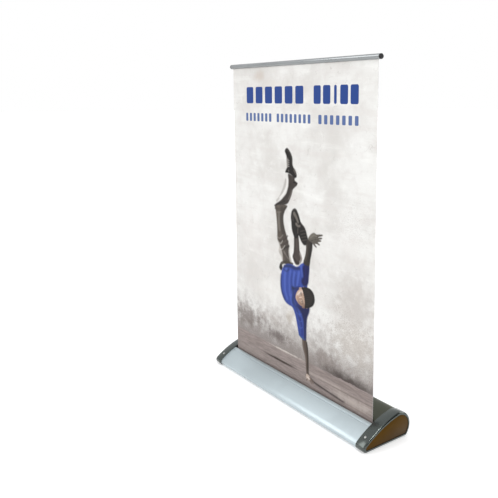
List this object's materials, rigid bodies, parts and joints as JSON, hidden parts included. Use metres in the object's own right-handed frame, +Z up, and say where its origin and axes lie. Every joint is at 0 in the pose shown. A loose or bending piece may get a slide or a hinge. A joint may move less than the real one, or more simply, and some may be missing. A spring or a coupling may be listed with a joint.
{
  "type": "roll-up banner stand",
  "caption": "Desktop roll-up banner stand: printed film drawn from a sprung roller in a low extruded base, its top rail held up by a telescopic rear pole.",
  "frame": {"origin": "middle of the base's footprint, on the surface the stand rests on", "axes": "+X along the base to the viewer's right, +Y to the rear (the print faces -Y), +Z up"},
  "size_m": [0.3316, 0.0762, 0.4497],
  "materials": {
    "silver_anodised": "satin pale blue-grey anodised",
    "dark_anodised": "satin dark olive-grey anodised",
    "chromed_cap": "glossy dark chromed plastic",
    "bronze_plate": "dark bronze-brown, lightly glossy",
    "foot_rubber": "matte",
    "steel": "bright zinc-plated",
    "rail_aluminium": "satin grey anodised",
    "printed_film": "matte printed film, grey-beige wall and brown-grey floor",
    "white_nylon": "matte",
    "black_plastic": "fine satin moulding"
  },
  "bodies": {
    "base": {"base_extrusion": "silver_anodised", "rear_cover": "dark_anodised", "foot_strip_front": "foot_rubber", "foot_strip_rear": "foot_rubber", "end_cap_left": "chromed_cap", "end_cap_right": "chromed_cap", "end_plate_left": "bronze_plate", "end_plate_right": "bronze_plate", "cap_screw_left_1": "steel", "cap_screw_left_2": "steel", "cap_screw_left_3": "steel", "cap_screw_right_1": "steel", "cap_screw_right_2": "steel", "cap_screw_right_3": "steel", "rim_screw_left": "steel", "rim_screw_right": "steel", "spring_mandrel": "steel", "torsion_spring": "steel", "axle_bush": "white_nylon", "leader_web": "printed_film", "pole_socket": "black_plastic", "socket_screw_left": "steel", "socket_screw_right": "steel", "pole_grommet": "black_plastic", "pole_lower": "rail_aluminium", "pole_foot": "black_plastic"},
    "roller": {"roller_tube": "rail_aluminium", "wound_film": "printed_film", "axle_plug": "white_nylon", "spring_plug": "white_nylon"},
    "rail": {"top_rail": "rail_aluminium", "hem_rod": "white_nylon", "rail_plug_left": "black_plastic", "rail_plug_right": "black_plastic", "rail_clip": "black_plastic", "clip_screw_left": "steel", "clip_screw_right": "steel", "graphic_sheet": "printed_film"},
    "upper_pole": {"pole_upper": "rail_aluminium", "pole_guide": "white_nylon", "pole_hook": "black_plastic"},
    "collar": {"lock_collar": "black_plastic"}
  },
  "joints": [
    {"name": "rail_travel", "type": "slide", "parent": "base", "child": "rail", "axis": [0, 0, 1], "range_m": [-0.41, 0], "deforming": ["graphic_sheet"]},
    {"name": "roller_spin", "type": "hinge", "parent": "base", "child": "roller", "pos_m": [0, 0.0011, 0.0132], "axis": [1, 0, 0], "range_deg": [0, 2800]},
    {"name": "pole_telescope", "type": "slide", "parent": "base", "child": "upper_pole", "axis": [0, 0, 1], "range_m": [-0.175, 0]},
    {"name": "collar_twist", "type": "hinge", "parent": "base", "child": "collar", "pos_m": [0, 0.01955, 0.2186], "axis": [0, 0, 1], "range_deg": [0, 90]}
  ],
  "couplings": [
    {"joint": "roller_spin", "follows": "rail_travel", "rad_per_m": -119}
  ]
}
